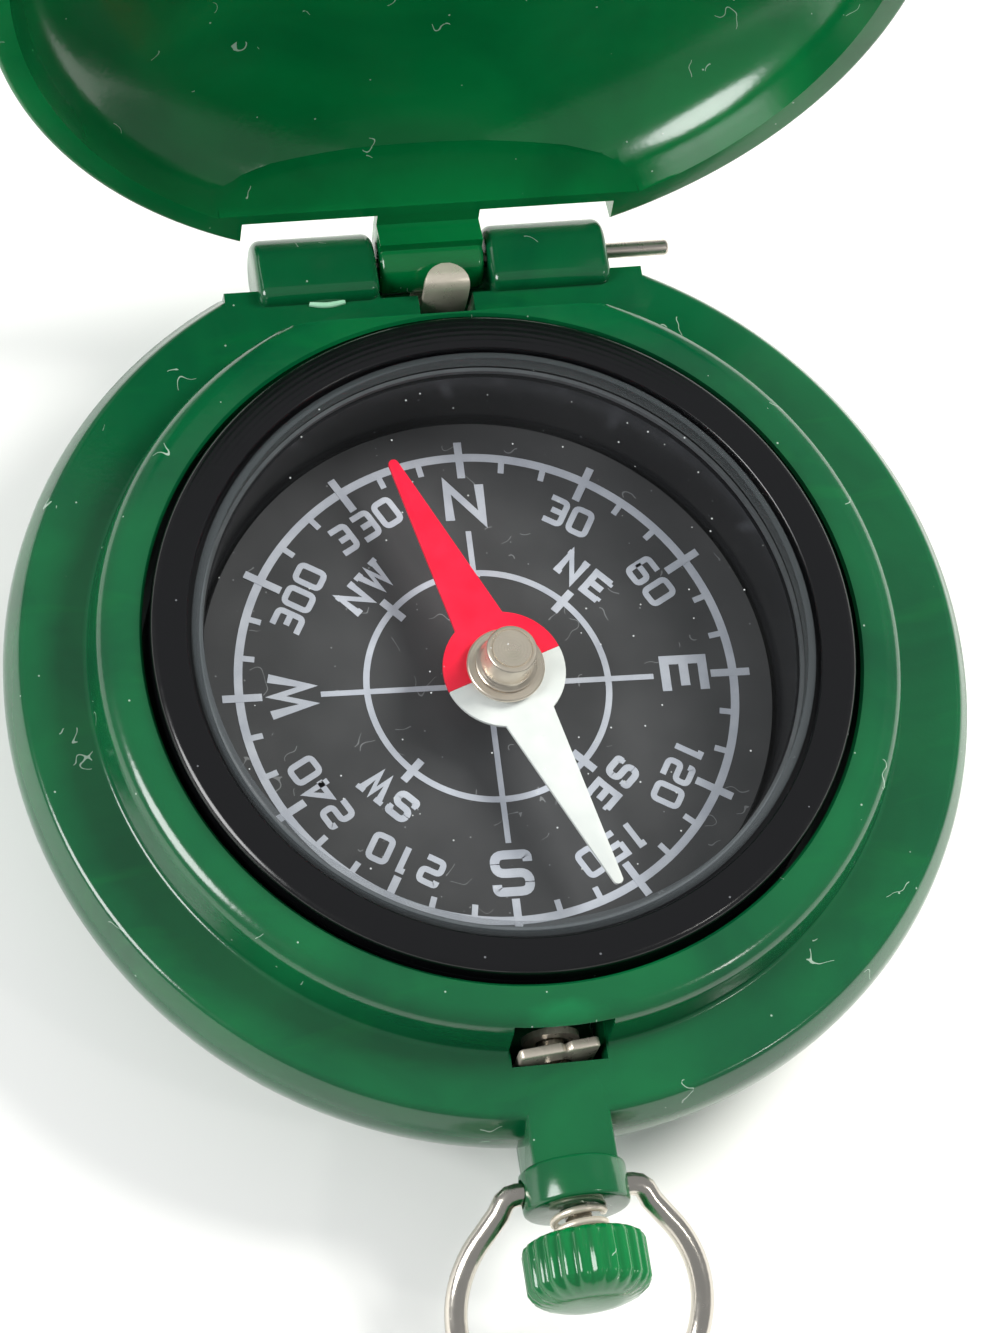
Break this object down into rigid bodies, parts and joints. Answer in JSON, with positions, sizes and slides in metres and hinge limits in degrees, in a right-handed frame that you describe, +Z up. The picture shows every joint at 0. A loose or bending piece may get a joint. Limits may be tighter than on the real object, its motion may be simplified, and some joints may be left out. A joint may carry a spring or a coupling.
{
  "type": "sighting compass",
  "caption": "Pocket hunter-case compass: round green case, glazed dry capsule with pivoted needle, sprung hinged lid, press-button latch and bow.",
  "frame": {"origin": "centre of the flat bottom face of the back cover, on the dial's axis", "axes": "+X to the right of the case, the dial's east; +Y towards the lid hinge; +Z up out of the dial"},
  "size_m": [0.051, 0.0805, 0.0557],
  "materials": {
    "green_plastic": "moulded green plastic, glossy, translucent where thin",
    "black_plastic": "turned black plastic, semi-gloss",
    "grey_seal": "grey sealing ring, satin",
    "clear_acrylic": "clear acrylic, polished",
    "dial_card": "matt black with pale print",
    "nickel": "nickel plated and turned",
    "spring_steel": "bright drawn and blanked steel",
    "brass": "turned brass",
    "needle_paint": "painted steel, red north half and white south half",
    "jewel": "polished synthetic jewel"
  },
  "bodies": {
    "case": {"case_body": "green_plastic", "back_cover": "green_plastic", "capsule_cup": "black_plastic", "bezel_ring": "black_plastic", "crystal_seal": "grey_seal", "crystal": "clear_acrylic", "dial": "dial_card", "pivot_bush": "brass", "pivot_pin": "spring_steel", "hinge_pin": "spring_steel", "lid_spring": "spring_steel"},
    "lid": {"lid_shell": "green_plastic", "sight_wire": "spring_steel", "sight_stud_tip": "brass", "sight_stud_root": "brass"},
    "compass_needle": {"needle": "needle_paint", "hub_washer": "nickel", "hub_cap": "nickel", "pivot_jewel": "jewel"},
    "button": {"push_button": "green_plastic", "button_stem": "spring_steel", "stem_clip": "spring_steel", "latch_plate": "spring_steel", "button_spring": "spring_steel"},
    "bow": {"bow_ring": "spring_steel"}
  },
  "joints": [
    {"name": "lid_hinge", "type": "hinge", "parent": "case", "child": "lid", "pos_m": [0, 0.024, 0.00835], "axis": [-1, 0, 0], "range_deg": [-103, 0], "stiffness_Nm_per_rad": 0.0012, "springref_deg": 20.05, "deforming": ["lid_spring"]},
    {"name": "needle_spin", "type": "hinge", "parent": "case", "child": "compass_needle", "pos_m": [0.00045, -0.0002, 0.0089], "axis": [0, 0, 1], "continuous": true},
    {"name": "button_press", "type": "slide", "parent": "case", "child": "button", "axis": [0, 1, 0], "range_m": [0, 0.0012], "stiffness_N_per_m": 150, "springref_m": -0.001, "deforming": ["button_spring"]},
    {"name": "bow_swing", "type": "hinge", "parent": "case", "child": "bow", "pos_m": [0, -0.0282, 0.0077], "axis": [1, 0, 0], "range_deg": [-127, 58]}
  ]
}
